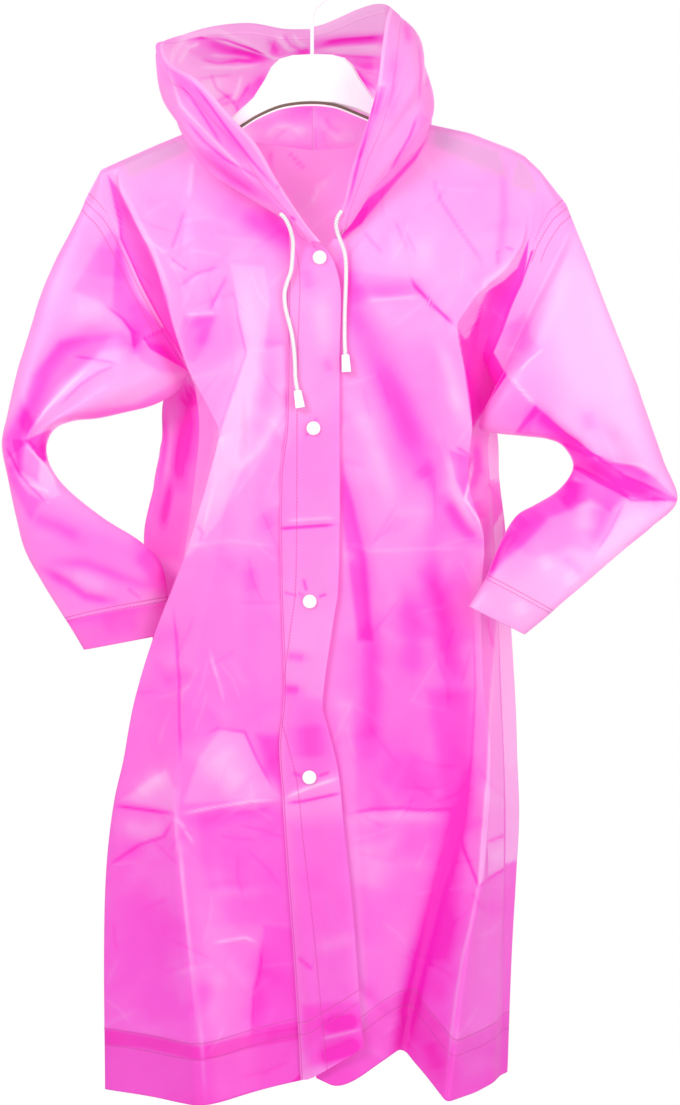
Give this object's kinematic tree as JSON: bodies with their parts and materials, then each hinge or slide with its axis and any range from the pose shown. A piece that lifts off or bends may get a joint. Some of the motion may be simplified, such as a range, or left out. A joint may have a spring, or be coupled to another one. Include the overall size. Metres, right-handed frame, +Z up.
{
  "type": "raincoat on a hanger",
  "caption": "Hooded raincoat of thin glossy film with a snapped placket and a hood drawcord, hanging empty on a plastic hanger with a wire hook.",
  "frame": {"origin": "inside the top of the hook's bend, where a rail carries it", "axes": "+Z up, -Y towards the coat's front, +X towards the wearer's left side"},
  "size_m": [0.6756, 0.1835, 1.1455],
  "materials": {
    "film": "gloss",
    "doubled_film": "gloss",
    "white_snap": "satin",
    "white_cord": "matt",
    "hanger_plastic": "satin",
    "coated_wire": "satin"
  },
  "bodies": {
    "root": {"front_right": "film", "front_left": "film", "back": "film", "placket": "doubled_film", "sleeve_right": "film", "sleeve_left": "film", "hood_right": "film", "hood_left": "film", "snap_1": "white_snap", "snap_2": "white_snap", "snap_3": "white_snap", "snap_4": "white_snap", "cord_right": "white_cord", "cord_left": "white_cord", "cord_tip_right": "white_snap", "cord_tip_left": "white_snap", "hanger_body": "hanger_plastic", "hanger_hook": "coated_wire"}
  },
  "joints": []
}
